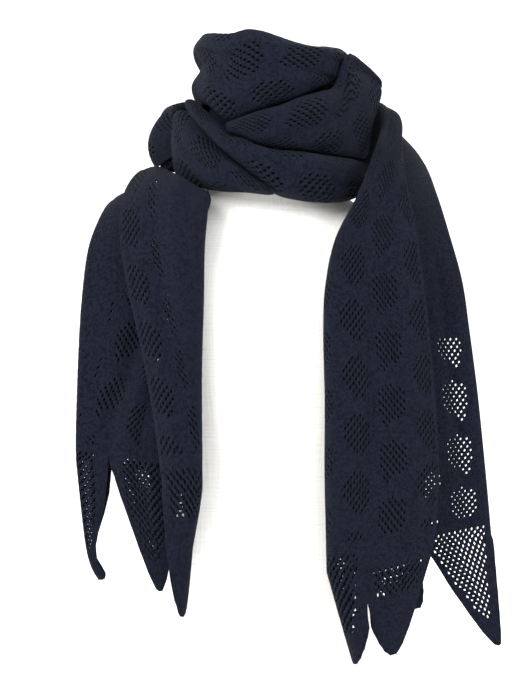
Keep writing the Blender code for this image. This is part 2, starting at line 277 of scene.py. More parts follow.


# %% [markdown]
# ## Creases
#
# Soft troughs and ridges make a fold look used. Each is a line on the cloth, in shares of the piece's
# length and width, with its own width and depth. The cloth moves along its own normal, so a crease
# follows the drape. A cloth simulation would find creases of its own, but not those of the photo.

# %% Creases
Crease = namedtuple("Crease", "along_from across_from along_to across_to width depth")
CREASE_END = 0.04
SELVEDGE_WIDTH = 3.5
END_FADE = 14.0
SWAY_DEPTH = 0.35
SWAY_WAVES = [
    # length of a wave along the cloth and across it, phase
    (37, 29, 0.0),
    (61, -23, 1.7),
]


def outward(rows):
    """The cloth's normal at each stitch."""
    normal = np.cross(np.gradient(rows, axis=1), np.gradient(rows, axis=0))
    return normal / np.maximum(np.linalg.norm(normal, axis=2, keepdims=True), 1e-9)


def press_creases(rows, creases, side, selvedge=0.0):
    """Move the cloth in along each crease with a positive depth and out along one with a negative depth.

    A slight sway is added all over, and the edges roll out by the selvedge. All of it fades out towards both
    ends of the piece, where the next stretch of the strip goes on.
    """
    tall, wide = rows.shape[:2]
    along, across = np.meshgrid(np.arange(tall) * ROW_HEIGHT, np.arange(wide) * STITCH_WIDTH, indexing="ij")
    length, width = (tall - 1) * ROW_HEIGHT, (wide - 1) * STITCH_WIDTH
    moved = np.zeros((tall, wide))
    for crease in creases:
        start = np.array([crease.along_from * length, crease.across_from * width])
        run = np.array([crease.along_to * length, crease.across_to * width]) - start
        share = ((along - start[0]) * run[0] + (across - start[1]) * run[1]) / (run @ run)
        kept = np.clip(share, 0, 1)
        off = np.hypot(along - start[0] - kept * run[0], across - start[1] - kept * run[1])
        taper = np.sin(np.pi * (kept * (1 - 2 * CREASE_END) + CREASE_END)) ** 0.5
        moved += crease.depth * taper * np.exp(-(off / crease.width) ** 2)
    sway = sum(np.sin(along / tall_wave + across / wide_wave + phase)
               for tall_wave, wide_wave, phase in SWAY_WAVES) * SWAY_DEPTH
    roll = selvedge * (np.exp(-across / SELVEDGE_WIDTH) + np.exp(-(width - across) / SELVEDGE_WIDTH))
    fade = np.clip(np.minimum(along, length - along) / END_FADE, 0, 1)
    return rows - side * outward(rows) * ((moved + sway - roll) * fade)[:, :, None]


# %% From rows of points to knitted cloth
CLOTH_THICKNESS = 1.9
MERGE_DISTANCE = 0.000004


def chart_holes(rows, lean_at):
    """Pull each hole of the chart open; return the holes, and how far each stitch belongs to a leaf."""
    along, across = rows.shape[0] - 1, rows.shape[1] - 1
    holes = set()
    leans = np.zeros((along + 2, across + 2))
    for row in range(1, along - 1):
        for column in range(1, across - 1):
            lean = lean_at(row, column)
            leans[row + 1, column + 1] = np.sign(lean)
            if lean and on_hole_lattice(row, column):
                holes.add((row, column))
                pull_hole(rows, row, column, lean)
    return holes, (leans[:-1, :-1] + leans[1:, :-1] + leans[:-1, 1:] + leans[1:, 1:]) / 4


def knit(name, rows, lean_at, material, node):
    """Drape a grid of stitches over rows of points, leave out the holes and give the cloth its thickness."""
    rows = np.array(rows, float)
    along, across = rows.shape[0] - 1, rows.shape[1] - 1
    holes, leaf = chart_holes(rows, lean_at)
    bm = bmesh.new()
    bmesh.ops.create_grid(bm, x_segments=across, y_segments=along, size=1.0, calc_uvs=True)
    uv = bm.loops.layers.uv.verify()
    openwork = bm.verts.layers.float.new("openwork")
    places = {}
    for vertex in bm.verts:
        places[vertex] = (round((vertex.co.y + 1) / 2 * along), round((vertex.co.x + 1) / 2 * across))
    left_out = []
    for face in bm.faces:
        for loop in face.loops:
            row, column = places[loop.vert]
            loop[uv].uv = (column, row)
        corner = min(places[vertex] for vertex in face.verts)
        if corner in holes:
            left_out.append(face)
    for vertex, (row, column) in places.items():
        vertex.co = rows[row, column] * MM
        vertex[openwork] = leaf[row, column]
    bmesh.ops.delete(bm, geom=left_out, context="FACES_ONLY")
    bmesh.ops.remove_doubles(bm, verts=bm.verts[:], dist=MERGE_DISTANCE)
    loose = [edge for edge in bm.edges if not edge.link_faces]
    bmesh.ops.delete(bm, geom=loose, context="EDGES")
    bmesh.ops.recalc_face_normals(bm, faces=bm.faces[:])
    piece = object_from(bm, name, material)
    piece.data.shade_smooth()
    wall = piece.modifiers.new("cloth thickness", "SOLIDIFY")
    wall.thickness = CLOTH_THICKNESS * MM
    wall.offset = 0.0
    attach(piece, "root")
    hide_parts(node)
    flat = (across * STITCH_WIDTH * MM, along * ROW_HEIGHT * MM)
    flat_mm = [round(side / MM) for side in flat]
    print(name, "stitches", across, "rows", along, "holes", len(holes), "flat mm", flat_mm)
    return piece, flat


# %% [markdown]
# ## Wool and linen
#
# Both cloths need a relief that follows their threads. The knit's relief reads the stitch grid from the
# UV map, so each V of yarn lies on its own stitch. The linen is woven over the form's skin, so it reads
# the angle round the form and the height. The soft unevenness of yarn is one group that both use.


# %% Node helpers
def add_node(tree, kind, place, **settings):
    node = tree.nodes.new(kind)
    node.location = place
    for key, value in settings.items():
        setattr(node, key, value)
    return node


def math_node(tree, operation, place, first, second=None, third=None):
    """A math node fed by sockets or by plain numbers; returns its output."""
    node = add_node(tree, "ShaderNodeMath", place, operation=operation)
    sources = enumerate((first, second, third))
    set_inputs(node, {index: value for index, value in sources if value is not None})
    return node.outputs[0]


def new_group(name, inputs, outputs):
    """A shader group with named sockets; inputs are (name, type, value)."""
    tree = bpy.data.node_groups.new(name, "ShaderNodeTree")
    for label, kind, value in inputs:
        socket = tree.interface.new_socket(label, in_out="INPUT", socket_type=kind)
        if value is not None:
            socket.default_value = value
    for label, kind in outputs:
        tree.interface.new_socket(label, in_out="OUTPUT", socket_type=kind)
    entry = add_node(tree, "NodeGroupInput", (-900, 0))
    end = add_node(tree, "NodeGroupOutput", (900, 0))
    return tree, entry, end


# %% The yarn's unevenness, for both cloths
fibre_group, fibre_in, fibre_out = new_group(
    "yarn unevenness",
    [("Vector", "NodeSocketVector", None), ("Patch Size", "NodeSocketFloat", 40.0),
     ("Fibre Size", "NodeSocketFloat", 900.0)],
    [("Patches", "NodeSocketFloat"), ("Fibres", "NodeSocketFloat")],
)
for label, size, detail, roughness, level in (("Patches", "Patch Size", 4.0, 0.5, 150),
                                               ("Fibres", "Fibre Size", 3.0, 0.7, -150)):
    noise = add_node(fibre_group, "ShaderNodeTexNoise", (-500, level))
    set_inputs(noise, {
        "Vector": fibre_in.outputs["Vector"],
        "Scale": fibre_in.outputs[size],
        "Detail": detail,
        "Roughness": roughness,
    })
    set_inputs(fibre_out, {label: noise.outputs[0]})
print("shared group:", fibre_group.name)


# %% [markdown]
# A knitted stitch shows as a V: two short strands that lean towards each other. Folding the stitch's width
# in half makes both strands at once, and a sine along the leaning direction rounds each strand. The UV map
# counts stitches across and rows up, so one unit is one stitch.

# %% The wool's stitches
STRAND_LEAN = 1.3
STRAND_MIDDLE = 0.25
STRAND_NARROWNESS = 5.6

wool, tree, shader = new_material("dark navy wool knit")
stitch_uv = add_node(tree, "ShaderNodeUVMap", (-1700, 200))
split = add_node(tree, "ShaderNodeSeparateXYZ", (-1500, 200))
set_inputs(split, {"Vector": stitch_uv.outputs["UV"]})
within = math_node(tree, "FRACT", (-1300, 300), split.outputs[0])
centred = math_node(tree, "SUBTRACT", (-1150, 300), within, 0.5)
half = math_node(tree, "ABSOLUTE", (-1000, 300), centred)
leaning = math_node(tree, "MULTIPLY_ADD", (-850, 150), half, STRAND_LEAN, split.outputs[1])
along_strand = math_node(tree, "FRACT", (-700, 150), leaning)
strand_turn = math_node(tree, "MULTIPLY", (-550, 150), along_strand, math.pi)
strand_wave = math_node(tree, "SINE", (-400, 150), strand_turn)
beside = math_node(tree, "SUBTRACT", (-850, 350), half, STRAND_MIDDLE)
leg_turn = math_node(tree, "MULTIPLY", (-700, 350), beside, STRAND_NARROWNESS)
leg = math_node(tree, "COSINE", (-550, 350), leg_turn)
relief = math_node(tree, "MULTIPLY", (-250, 250), strand_wave, leg)
print("nodes for the stitches:", len(tree.nodes))

# %% [markdown]
# In a leaf, the stitches that are knitted together between the holes stand up as slanted ridges. A cosine
# across the slant makes them. The attribute "openwork" says to which side each leaf leans, and picks the
# ridges of that side alone.

# %% The wool's slanted ridges
RIDGES_PER_STITCH = 0.5
RIDGE_SLOPE = 0.25
RIDGE_START = -0.25

openwork = add_node(tree, "ShaderNodeAttribute", (-1700, 700), attribute_name="openwork")
ridges = []
for lean, level in ((-1, 700), (1, 950)):
    slope = lean * RIDGE_SLOPE
    lead = RIDGE_START - slope / 2
    column_share = math_node(tree, "MULTIPLY_ADD", (-1300, level), split.outputs[0], RIDGES_PER_STITCH, lead)
    diagonal = math_node(tree, "MULTIPLY_ADD", (-1150, level), split.outputs[1], slope, column_share)
    turns = math_node(tree, "MULTIPLY", (-1000, level), diagonal, 2 * math.pi)
    wave = math_node(tree, "COSINE", (-850, level), turns)
    signed = math_node(tree, "MULTIPLY", (-1150, level + 120), openwork.outputs["Fac"], float(lean))
    kept = math_node(tree, "MINIMUM", (-1000, level + 120), signed, 0.0)
    ridges.append(math_node(tree, "MULTIPLY", (-700, level), wave, kept))
ridge = math_node(tree, "ADD", (-500, 800), ridges[0], ridges[1])
print("ridge slopes:", -RIDGE_SLOPE, RIDGE_SLOPE)

# %% [markdown]
# The relief drives the colour too, as painted shade: almost black in the hollows, navy where the yarn stands
# up.
# Fine noise mottles it, and large soft patches fade it a little. A painted highlight, a thin pale line along
# a free edge, stands in for the light that the selvedge's first stitches catch where they lie over the edge.

# %% The wool's colour
# Painted shade and light: the yarn's colour in its shaded hollows and on its lit crests.
WOOL_SHADED_HOLLOW = (0.0010, 0.0013, 0.0030, 1.0)
WOOL_LIT_CREST = (0.0066, 0.0082, 0.0198, 1.0)
WOOL_FADED = (0.0054, 0.0075, 0.0125, 1.0)
WOOL_PATCH_SIZE = 26.0
WOOL_FIBRE_SIZE = 300.0
# How strongly the stitch relief and the leaf ridges paint shade and light into the colour.
PLAIN_SHADE = 0.42
STITCH_PAINTED_SHADE = 0.45
RIDGE_PAINTED_SHADE = 0.55
# Painted highlight along the selvedge: how much paler it is, and how many stitches it covers.
SELVEDGE_HIGHLIGHT = 0.75
SELVEDGE_STITCHES = 1.3
MOTTLE_CONTRAST = 6.5
MOTTLE_LEVEL = -2.3
FADED_SHARE = 0.35

object_place = add_node(tree, "ShaderNodeTexCoord", (-1700, -300))
fibre = add_node(tree, "ShaderNodeGroup", (-1300, -300), node_tree=fibre_group)
set_inputs(fibre, {
    "Vector": object_place.outputs["Object"],
    "Patch Size": WOOL_PATCH_SIZE,
    "Fibre Size": WOOL_FIBRE_SIZE,
})
# Painted shade: the hollows of each stitch and between the leaf ridges are darkened, and what stands up is
# lightened.
lit = math_node(tree, "MULTIPLY_ADD", (-250, 400), relief, STITCH_PAINTED_SHADE, PLAIN_SHADE)
lit = math_node(tree, "MULTIPLY_ADD", (-100, 250), ridge, RIDGE_PAINTED_SHADE, lit)
# Painted highlight: the selvedge's first stitches are made paler, as if they caught more light over the
# edge.
selvedge = math_node(tree, "LESS_THAN", (-850, 550), split.outputs[0], SELVEDGE_STITCHES)
lit = math_node(tree, "MULTIPLY_ADD", (50, 350), selvedge, SELVEDGE_HIGHLIGHT, lit)
fibres = fibre.outputs["Fibres"]
mottle = math_node(tree, "MULTIPLY_ADD", (-250, -200), fibres, MOTTLE_CONTRAST, MOTTLE_LEVEL)
shade = math_node(tree, "MULTIPLY", (50, 100), lit, mottle)
tone = add_node(tree, "ShaderNodeMix", (200, 200), data_type="RGBA")
set_inputs(tone, {"A": WOOL_SHADED_HOLLOW, "B": WOOL_LIT_CREST, "Factor": shade})
faded_share = math_node(tree, "MULTIPLY", (200, -50), fibre.outputs["Patches"], FADED_SHARE)
faded = add_node(tree, "ShaderNodeMix", (400, 200), data_type="RGBA")
set_inputs(faded, {"A": tone.outputs["Result"], "B": WOOL_FADED, "Factor": faded_share})
set_inputs(shader, {"Base Color": faded.outputs["Result"]})
print("wool tones:", WOOL_SHADED_HOLLOW[:3], WOOL_LIT_CREST[:3])

# %% The wool's bump and softness
FIBRE_HEIGHT = 0.5
STITCH_HEIGHT = 0.6
RIDGE_HEIGHT = 1.4
WOOL_BUMP = 0.0014

stitch_height = math_node(tree, "MULTIPLY", (-100, -150), relief, STITCH_HEIGHT)
height = math_node(tree, "MULTIPLY_ADD", (50, -250), fibres, FIBRE_HEIGHT, stitch_height)
height = math_node(tree, "MULTIPLY_ADD", (200, -250), ridge, RIDGE_HEIGHT, height)
bump = add_node(tree, "ShaderNodeBump", (400, -250))
set_inputs(bump, {"Strength": 0.9, "Distance": WOOL_BUMP, "Height": height})
set_inputs(shader, {
    "Normal": bump.outputs["Normal"],
    "Roughness": 0.88,
    "Specular IOR Level": 0.08,
    "Sheen Weight": 0.02,
    "Sheen Roughness": 0.45,
    "Sheen Tint": (0.70, 0.78, 1.0, 1.0),
})
print("wool nodes:", len(tree.nodes))

# %% [markdown]
# Linen is a plain weave, one thread over and one under, of threads that swell and thin along their length.
# A checker of the two thread waves gives the over and under. Long stretched noise gives the thick places.

# %% The linen's weave
THREADS_PER_METRE = 1050.0
FORM_RADIUS = 0.13

linen, tree, shader = new_material("ivory linen")
object_place = add_node(tree, "ShaderNodeTexCoord", (-1900, 0))
split = add_node(tree, "ShaderNodeSeparateXYZ", (-1700, 0))
set_inputs(split, {"Vector": object_place.outputs["Object"]})
front = math_node(tree, "MULTIPLY", (-1600, -100), split.outputs[1], -1.0)
turn = math_node(tree, "ARCTAN2", (-1500, 100), split.outputs[0], front)
girth = math_node(tree, "MULTIPLY", (-1350, 100), turn, FORM_RADIUS)
counts = []
waves = []
for distance, level in ((girth, 150), (split.outputs[2], -50)):
    count = math_node(tree, "MULTIPLY", (-1200, level), distance, THREADS_PER_METRE)
    half_turns = math_node(tree, "MULTIPLY", (-1100, level), count, math.pi)
    wave = math_node(tree, "SINE", (-1050, level), half_turns)
    waves.append(math_node(tree, "ABSOLUTE", (-900, level), wave))
    counts.append(math_node(tree, "FLOOR", (-1150, level + 200), count))
both = math_node(tree, "ADD", (-1050, 350), counts[0], counts[1])
over = math_node(tree, "PINGPONG", (-900, 350), both, 1.0)
weave = add_node(tree, "ShaderNodeMix", (-700, 100), data_type="FLOAT")
set_inputs(weave, {"Factor": over, "A": waves[0], "B": waves[1]})
print("threads in each centimetre:", THREADS_PER_METRE / 100)

# %% The linen's thick threads
SLUB_ALONG = 14.0
SLUB_ACROSS = 620.0

threads = add_node(tree, "ShaderNodeCombineXYZ", (-1200, -300))
set_inputs(threads, {"X": girth, "Y": split.outputs["Z"]})
slubs = []
for label, stretch, level in (("level slubs", (SLUB_ALONG, SLUB_ACROSS, 1.0), -300),
                              ("upright slubs", (SLUB_ACROSS, SLUB_ALONG, 1.0), -550)):
    mapping = add_node(tree, "ShaderNodeMapping", (-1000, level), label=label)
    set_inputs(mapping, {"Vector": threads.outputs["Vector"], "Scale": stretch})
    noise = add_node(tree, "ShaderNodeTexNoise", (-800, level))
    set_inputs(noise, {"Vector": mapping.outputs["Vector"], "Scale": 1.0, "Detail": 2.0})
    slubs.append(noise.outputs[0])
slub = math_node(tree, "MULTIPLY", (-600, -400), slubs[0], slubs[1])

# %% The linen's colour and bump
SLUB_SHADE = 2.6
PATCH_SHADE = 0.25
WEAVE_SHADE = 0.22
SLUB_HEIGHT = 1.5
LINEN_PATCH_SIZE = 9.0
LINEN_FIBRE_SIZE = 700.0
LINEN_TONES = [
    # place on the ramp, colour
    (0.35, (0.76, 0.73, 0.67, 1.0)),
    (0.9545, (0.95, 0.94, 0.91, 1.0)),
]

fibre = add_node(tree, "ShaderNodeGroup", (-800, -800), node_tree=fibre_group)
set_inputs(fibre, {
    "Vector": object_place.outputs["Object"],
    "Patch Size": LINEN_PATCH_SIZE,
    "Fibre Size": LINEN_FIBRE_SIZE,
})
patch_mark = math_node(tree, "MULTIPLY", (-500, -500), fibre.outputs["Patches"], PATCH_SHADE)
mark = math_node(tree, "MULTIPLY_ADD", (-400, -300), slub, SLUB_SHADE, patch_mark)
mark = math_node(tree, "MULTIPLY_ADD", (-300, -100), weave.outputs["Result"], WEAVE_SHADE, mark)
ramp = add_node(tree, "ShaderNodeValToRGB", (-150, 100))
for stop, (place, colour) in zip(ramp.color_ramp.elements, LINEN_TONES):
    stop.position = place
    stop.color = colour
set_inputs(ramp, {0: mark})
set_inputs(shader, {"Base Color": ramp.outputs["Color"]})
height = math_node(tree, "MULTIPLY_ADD", (-300, -400), slub, SLUB_HEIGHT, weave.outputs["Result"])
bump = add_node(tree, "ShaderNodeBump", (-150, -300))
set_inputs(bump, {"Strength": 0.6, "Distance": 0.0004, "Height": height})
set_inputs(shader, {"Normal": bump.outputs["Normal"], "Roughness": 0.9, "Specular IOR Level": 0.2})
print("linen nodes:", len(tree.nodes))

# %% [markdown]
# ## The form under the cloth
#
# The form is a padded torso without limbs: stacked ovals from its flat base to its neck. A cylinder cut
# into many levels, with each level scaled to its oval, keeps the sides one even grid for the weave.

# %% The dress form
FORM_SIDES = 144
FORM_LEVELS = 120
NECK_EDGE = 5.0
FORM_SECTIONS = [
    # height, half width, half depth
    (0, 124, 90), (60, 124, 90), (120, 120, 87), (200, 117, 84), (270, 121, 87), (340, 135, 97),
    (410, 150, 104), (455, 157, 97), (480, 153, 86), (500, 139, 77), (515, 114, 69), (530, 86.2, 61.8),
    (548, 66, 58), (570, 59, 57), (612, 57, 57), (655, 57, 57),
]

table = np.array(FORM_SECTIONS, float)
steps = np.linspace(0, len(table) - 1, FORM_LEVELS + 1)
sections = smooth_through(table, steps)
bm = bmesh.new()
bmesh.ops.create_cone(bm, cap_ends=True, segments=FORM_SIDES, radius1=1.0, radius2=1.0, depth=2.0)
sides = [edge for edge in bm.edges if abs(edge.verts[0].co.z - edge.verts[1].co.z) > 1]
bmesh.ops.subdivide_edges(bm, edges=sides, cuts=FORM_LEVELS - 1, use_grid_fill=True)
for vertex in bm.verts:
    section = sections[round((vertex.co.z + 1) / 2 * FORM_LEVELS)]
    vertex.co.x *= section[1] * MM
    vertex.co.y *= section[2] * MM
    vertex.co.z = section[0] * MM
neck_top = sections[-1][0] * MM
rim = [edge for edge in bm.edges if len(edge.link_faces) == 2
       and all(abs(vertex.co.z - neck_top) < 1e-6 for vertex in edge.verts)]
bmesh.ops.bevel(bm, geom=rim, offset=NECK_EDGE * MM, segments=4, profile=0.5, affect="EDGES", material=-1)
bmesh.ops.recalc_face_normals(bm, faces=bm.faces[:])
linen_form = object_from(bm, "linen_form", linen)
linen_form.data.shade_smooth()
linen_form.data.set_sharp_from_angle(angle=math.radians(50))
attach(linen_form, "root")
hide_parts("dress_form")
print("form faces:", len(linen_form.data.polygons))

# %% [markdown]
# ## The wrap round the neck
#
# Once round the neck, the strip gathers into soft folds. Each fold is a rounded roll whose edges tuck in
# behind its neighbours. The tables give its reach from the neck, its top and its bottom at each angle.

# %% The folds of the wrap in numbers
LOBE_GAP = 2.3
ROLL_BACK = 1.5
ROLL_STEPS = 61
ROLL_FLATNESS = 0.8
BOW_FULLNESS = 0.5
COLLAR_STEPS = 120
COLLAR_ROWS = [
    # angle, reach, top, bottom, crease height, crease depth
    (-180, 85, 672, 598, 640, 0), (-135, 82, 687, 600, 652, 2), (-100, 79, 696, 622, 666, 7),
    (-75, 81, 701, 628, 669, 11), (-50, 90, 698, 622, 666, 11), (-27, 98, 693.5, 604, 658, 7),
    (-10, 99, 695, 613, 652, 2), (15, 98, 687, 625, 652, 0), (35, 95, 683, 637, 656, 0),
    (50, 90, 683, 641, 658, 0), (68, 92, 684, 620, 650, 0), (86, 90, 681, 606, 645, 0),
    (102, 80, 670, 600, 636, 0), (140, 83, 660, 598, 630, 0), (180, 85, 672, 598, 640, 0),
]
COLLAR_INNER_REACH = 60.3
COLLAR_INNER_END = 584.0
COLLAR_TUCK = 22.0
MIDDLE_ROWS = [
    # angle, reach, top, bottom, tuck, lean
    (-26, 97, 604, 592, 11, 0), (-16, 100, 609, 586, 20, 0), (-6, 104, 614, 579, 24, 0),
    (8, 106, 620, 575, 26, 0), (22, 107, 629, 574, 26, 0), (36, 107, 636, 572, 22, 0),
    (46, 106, 643, 571, 13, 0), (54, 105, 674, 570, 8, 0), (62, 105, 677.5, 570, 8, 0),
    (70, 105, 672, 570, 8, 5), (79, 105, 665, 571, 9, 13), (89, 105, 655, 574, 8, 21),
    (97, 100, 646, 580, 6, 15),
]
THIRD_ROWS = [
    (-64, 95, 632, 621, 7, 0), (-50, 101, 621, 605, 13, 0), (-36, 104, 604, 583, 20, 0),
    (-25, 108, 590.5, 568, 26, 0), (-16, 110, 586.8, 557, 28, 0), (-6, 112, 579.2, 544, 30, 0),
    (6, 112, 574.8, 530, 30, 0), (22, 112, 573, 525, 30, 0), (40, 112, 571, 524, 30, 0),
    (55, 112, 570, 527.5, 28, 0), (70, 109, 570, 537, 22, 0), (84, 105, 572, 548, 14, 0),
    (96, 100, 577, 560, 6, 0),
]
FOURTH_ROWS = [
    (-85, 99, 622, 566, 5, 0), (-74, 104, 622, 551, 14, 0), (-62, 106, 613, 543, 22, 0),
    (-48, 107, 597, 537, 26, 0), (-36, 108, 580, 534, 28, 0), (-25, 109, 567, 533, 28, 0),
    (-16, 109, 557, 532.5, 29, 0), (-6, 108, 544.5, 531, 28, 0), (0, 106, 538.5, 530, 26, 0),
    (4, 103, 534.5, 530.5, 25, 0),
]
print("rows in the tables:", len(COLLAR_ROWS), len(MIDDLE_ROWS), len(THIRD_ROWS), len(FOURTH_ROWS))


# %% From the tables to rows of stitches
def read_rows(rows):
    """Smooth a table whose first column is an angle, with one row for each row of stitches."""
    table = np.array(rows, float)
    angles = table[:, 0]
    arc = math.radians(angles[-1] - angles[0]) * table[:, 1].mean()
    count = round(arc / ROW_HEIGHT)
    places = np.interp(np.linspace(angles[0], angles[-1], count + 1), angles, range(len(angles)))
    return smooth_through(table, places)


def whole_stitches(lines):
    """Spread stitches of one width along lines of points: as many as the middling line holds."""
    lengths = [np.linalg.norm(np.diff(np.array(line), axis=0), axis=1).sum() for line in lines]
    count = round(float(np.mean(lengths)) / STITCH_WIDTH)
    return np.array([evenly(line, count + 1) for line in lines])


def lobe_rows(rows):
    """One rounded fold: bowed out in the middle, with both edges tucked in and returned behind."""
    lines = []
    for angle, reach, top, bottom, tuck, lean in read_rows(rows):
        middle = (top + bottom) / 2
        half = (top - bottom - LOBE_GAP) / 2
        line = []
        for turn in np.radians(np.linspace(-90, 90, ROLL_STEPS)):
            rise = math.copysign(abs(math.sin(turn)) ** ROLL_FLATNESS, turn)
            bow = abs(math.cos(turn)) ** BOW_FULLNESS
            distance = reach - tuck * (1 - bow) + lean * ((rise + 1) / 2) ** 2
            line.append(around(angle, distance, middle + half * rise))
        behind = reach - tuck - ROLL_BACK
        line.append(around(angle, behind + lean * 0.8, middle + half * 0.9))
        line.append(around(angle, behind, middle - half * 0.8))
        lines.append(line)
    return whole_stitches(lines)


def collar_rows(rows):
    """The top of the wrap: it rises from its tucked edge, turns over and drops by the neck."""
    lines = []
    for angle, reach, top, bottom, crease_height, crease_depth in read_rows(rows):
        bottom += LOBE_GAP / 2
        height = top - bottom
        profile = [
            # distance from the neck's axis, height
            (max(reach - COLLAR_TUCK, COLLAR_INNER_REACH + 9), bottom),
            (reach - 8, bottom + 0.05 * height),
            (reach, bottom + 0.26 * height),
            (reach - crease_depth, crease_height),
            (reach - 1, bottom + 0.78 * height),
            (reach - 8, top - 3),
            (reach - 15, top),
            (COLLAR_INNER_REACH + 6, top - 7),
            (COLLAR_INNER_REACH + 1, top - 24),
            (COLLAR_INNER_REACH, COLLAR_INNER_END),
        ]
        profile = smooth_through(profile, np.linspace(0, len(profile) - 1, COLLAR_STEPS))
        lines.append([around(angle, distance, level) for distance, level in profile])
    return whole_stitches(lines)


# %% Crease and knit the wrap
COLLAR_CREASES = [
    # along from, across from, along to, across to, width, depth
    Crease(0.55, 0.22, 0.64, 0.12, 4, 5), Crease(0.30, 0.36, 0.47, 0.33, 6, 4),
    Crease(0.40, 0.20, 0.52, 0.13, 9, 3), Crease(0.52, 0.40, 0.62, 0.36, 9, 3),
    Crease(0.46, 0.42, 0.50, 0.20, 12, -3), Crease(0.36, 0.28, 0.42, 0.10, 10, -3),
    Crease(0.58, 0.30, 0.66, 0.30, 10, -3),
]
MIDDLE_CREASES = [
    Crease(0.60, 0.46, 0.98, 0.50, 5, 5), Crease(0.20, 0.20, 0.60, 0.34, 8, 3),
    Crease(0.45, 0.10, 0.80, 0.18, 7, 3), Crease(0.30, 0.38, 0.58, 0.48, 9, -3),
    Crease(0.72, 0.30, 0.90, 0.36, 10, -3),
]
THIRD_CREASES = [
    Crease(0.36, 0.46, 0.52, 0.30, 4, 5), Crease(0.52, 0.30, 0.78, 0.28, 5, 4),
    Crease(0.10, 0.30, 0.36, 0.22, 6, 3), Crease(0.55, 0.14, 0.90, 0.20, 8, -3),
    Crease(0.45, 0.42, 0.80, 0.44, 8, -3),
]
FOURTH_CREASES = [
    Crease(0.10, 0.40, 0.60, 0.34, 6, 3), Crease(0.15, 0.20, 0.50, 0.16, 7, 3),
    Crease(0.20, 0.28, 0.70, 0.26, 8, -2),
]
wraps = [
    # node, rows, creases, what it lies on, share of its width that can be seen
    ("wrap_top", collar_rows(COLLAR_ROWS), COLLAR_CREASES, "dress_form", 0.52),
    ("wrap_middle", lobe_rows(MIDDLE_ROWS), MIDDLE_CREASES, "wrap_top", 0.6),
    ("wrap_third", lobe_rows(THIRD_ROWS), THIRD_CREASES, "wrap_middle", 0.6),
    ("wrap_fourth", lobe_rows(FOURTH_ROWS), FOURTH_CREASES, "wrap_third", 0.6),
]
for node, rows, creases, under, share_seen in wraps:
    rows = press_creases(rows, creases, -1)
    seen = rows.shape[1] * share_seen

    def wrap_lean(row, column):
        return body_lean(row, column) if column < seen else 0

    piece, flat = knit(node.replace("wrap", "knit"), rows, wrap_lean, wool, node)

# %% [markdown]
# ## The hanging tails and the bands behind the neck
#
# Each tail is the strip folded lengthways, with its front layer, a rounded fold and its back layer. A
# station says where the free edge, the fold and the outer edge are at one height. The left tail's outer
# edge is turned in once more. Beyond the split, the same stations carry the strip on behind the neck.

# %% Stations of both tails
SEAM_GAP = 0.2


def ring(angle, *places):
    """Points at one angle round the neck, from the reach and height of each."""
    return [around(angle, reach, height) for reach, height in places]


LEFT_STATIONS = [
    # free edge, fold, outer edge, turned-in edge, gap, gap of the turn, bow, outward
    ((-104, -115, 236), (-67, -116, 236), (-194, -76, 262), (-84, -72, 258), 24, 12, 2, (0, -1, 0)),
    ((-112, -115, 300), (-67, -117, 300), (-194, -78, 300), (-88, -73, 300), 24, 12, 2, (0, -1, 0)),
    ((-124, -114, 365), (-67, -119, 365), (-191, -80, 365), (-114, -74, 365), 24, 12, 2, (0, -1, 0)),
    ((-138, -110, 425), (-66, -120, 425), (-188, -78, 425), (-119, -79, 425), 24, 12, 2, (0, -1, 0)),
    ((-147, -102, 475), (-65, -119, 475), (-183, -68, 473), (-131, -67, 475), 22, 12, 3, (0, -1, 0.1)),
    ((-148, -92, 512), (-62, -108, 512), (-174, -46, 503), (-146, -40, 496), 18, 9, 6, (0, -0.8, 0.5)),
    ((-143, -58, 539), (-60, -85, 529), (-165, -18, 523), (-148, -18, 512), 11, 8, 13, (0, -0.4, 0.9)),
    ((-131, -20, 558), (-80, -34, 534), (-156, 8, 526), (-143, 8, 515), 8, 7, 14, (0, 0, 1)),
    ((-119, 28, 557), (-84, 18, 545), (-146, 40, 512), (-135, 38, 504), 8, 7, 5, (-0.4, 0.3, 0.85)),
    (around(-126, 120, 549), around(-124, 91, 585), around(-122, 137, 500),
     around(-122, 130, 497), 8, 6, 2, (-0.8, 0.5, 0.3)),
    (*ring(-150, (109, 574), (94, 616), (112, 518), (105, 522)), 8, 6, 2, (-0.5, 0.85, 0.1)),
    (*ring(-180, (106.5, 592), (94.5, 630), (104.5, 534), (97, 540)), 8, 6, 2, (0, 1, 0)),
    (*ring(-210, (105.5, 596), (93.5, 634), (101.5, 548), (94, 552)), 8, 6, 2, (0.5, 0.86, 0)),
    (*ring(-238, (102, 598), (91, 632), (98, 558), (91, 562)), 8, 6, 2, (0.85, 0.5, 0)),
    (*ring(-256, (98, 598), (88, 626), (94, 564), (87, 568)), 7, 6, 1, (1, 0.2, 0)),
]
LEFT_SPLIT = 7.6
